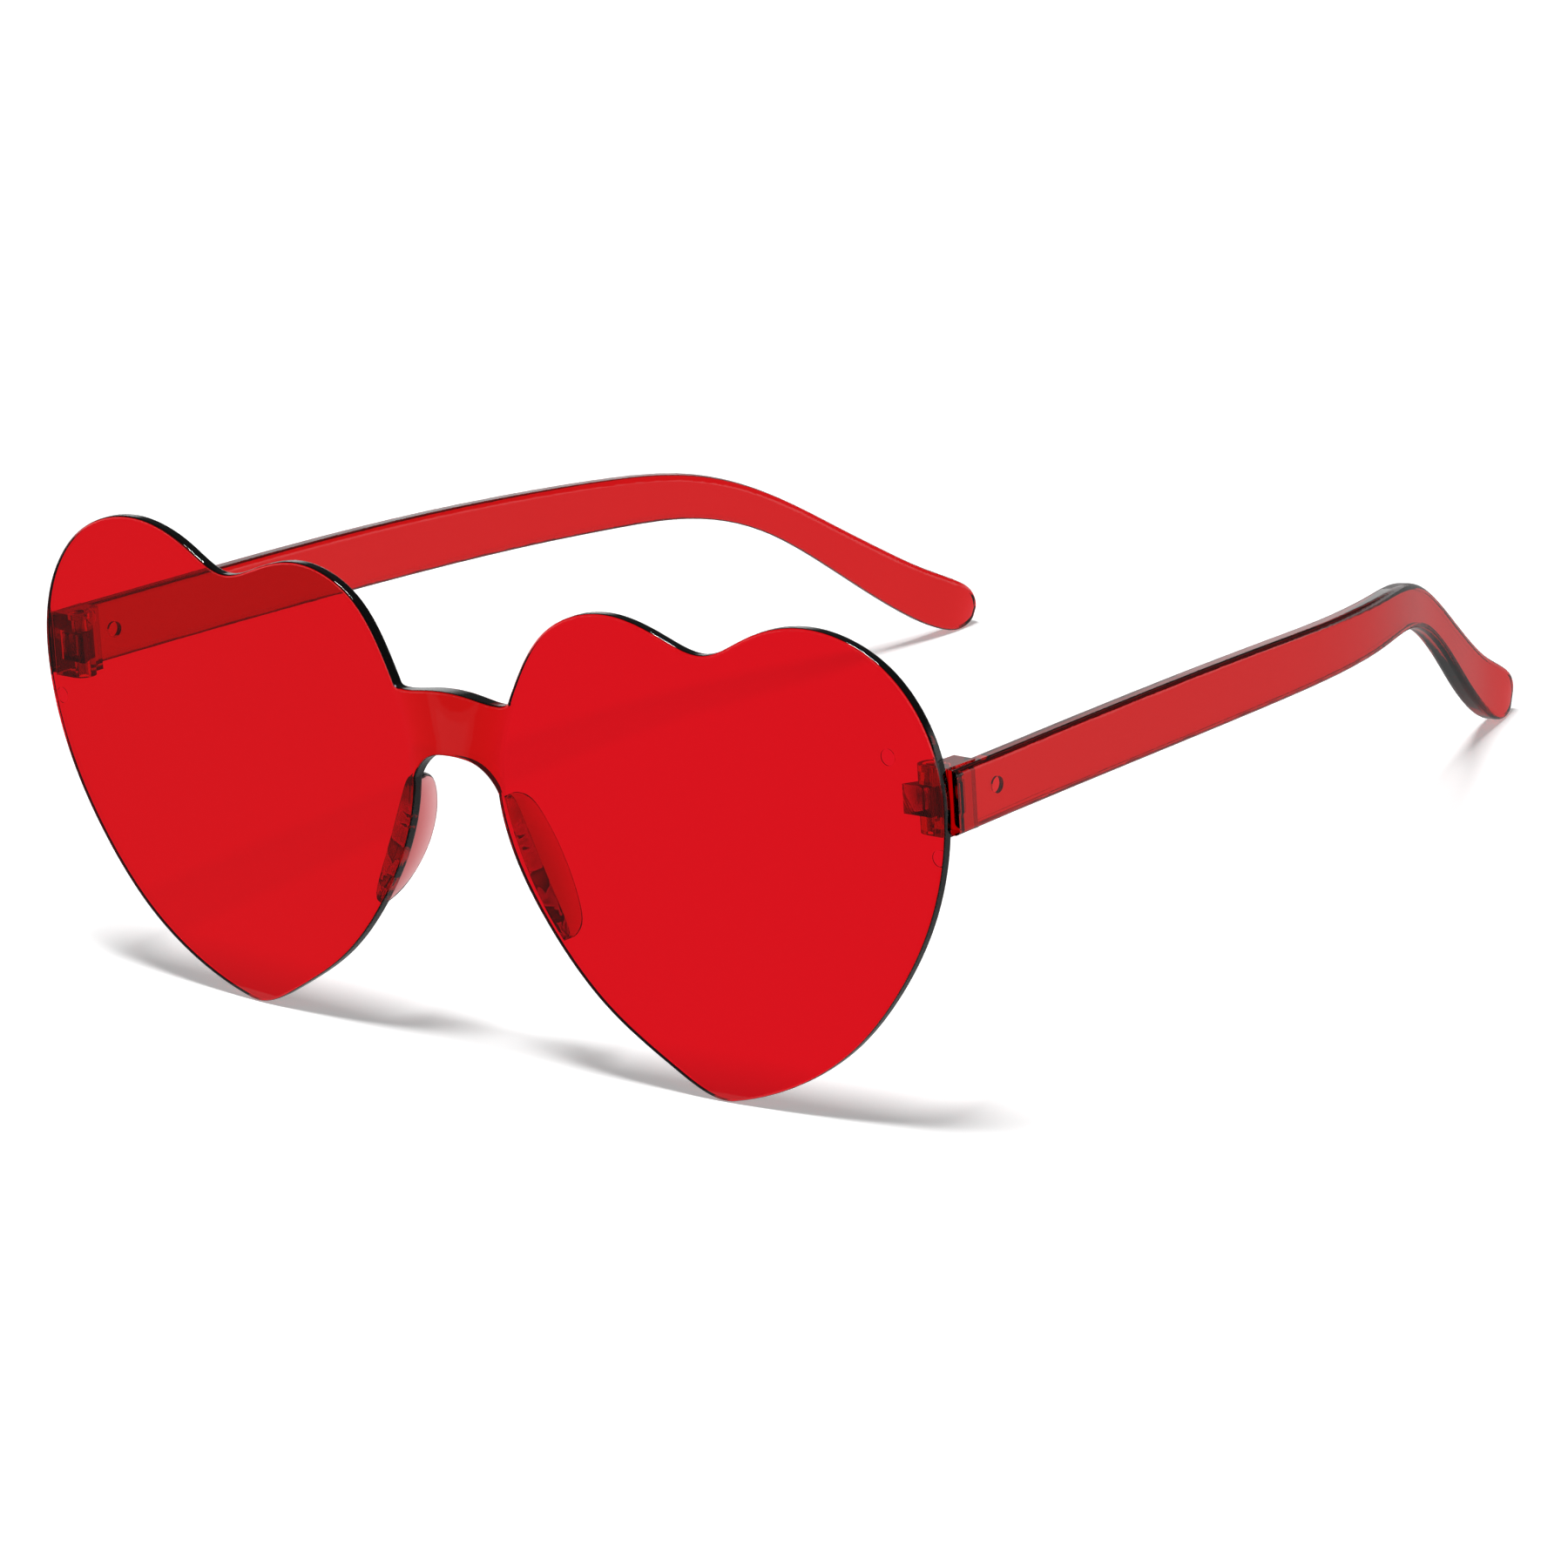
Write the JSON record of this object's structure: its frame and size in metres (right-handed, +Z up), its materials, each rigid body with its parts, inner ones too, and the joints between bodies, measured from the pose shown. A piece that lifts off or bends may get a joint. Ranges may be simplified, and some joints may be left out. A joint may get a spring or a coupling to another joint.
{
  "type": "sunglasses",
  "caption": "Rimless heart-shaped sunglasses in clear red plastic, with a one-piece lens front, nose pads and folding temples that hook over the ears.",
  "frame": {"origin": "on the surface the pair stands on, at the middle of its bounding box", "axes": "+X to the wearer's left across the face, +Y from the lenses back to the ears, +Z up, with the temples open and the pair resting on the heart tips and temple tips"},
  "size_m": [0.1474, 0.143, 0.058],
  "materials": {
    "lens_red": "clear tinted gloss",
    "temple_red": "clear tinted gloss",
    "pad_red": "clear tinted gloss",
    "screw_steel": "turned steel"
  },
  "bodies": {
    "front": {"front_lens": "lens_red", "nose_pad_left": "pad_red", "nose_pad_right": "pad_red", "hinge_lug_left": "lens_red", "hinge_lug_right": "lens_red"},
    "temple_left": {"temple_left": "temple_red", "hinge_screw_left": "screw_steel"},
    "temple_right": {"temple_right": "temple_red", "hinge_screw_right": "screw_steel"}
  },
  "joints": [
    {"name": "temple_left_fold", "type": "hinge", "parent": "front", "child": "temple_left", "pos_m": [0.06929, -0.06231, 0.03924], "axis": [0, 0.0985, 0.9951], "range_deg": [0, 79]},
    {"name": "temple_right_fold", "type": "hinge", "parent": "front", "child": "temple_right", "pos_m": [-0.06929, -0.06231, 0.03924], "axis": [0, -0.0985, -0.9951], "range_deg": [0, 73]}
  ]
}
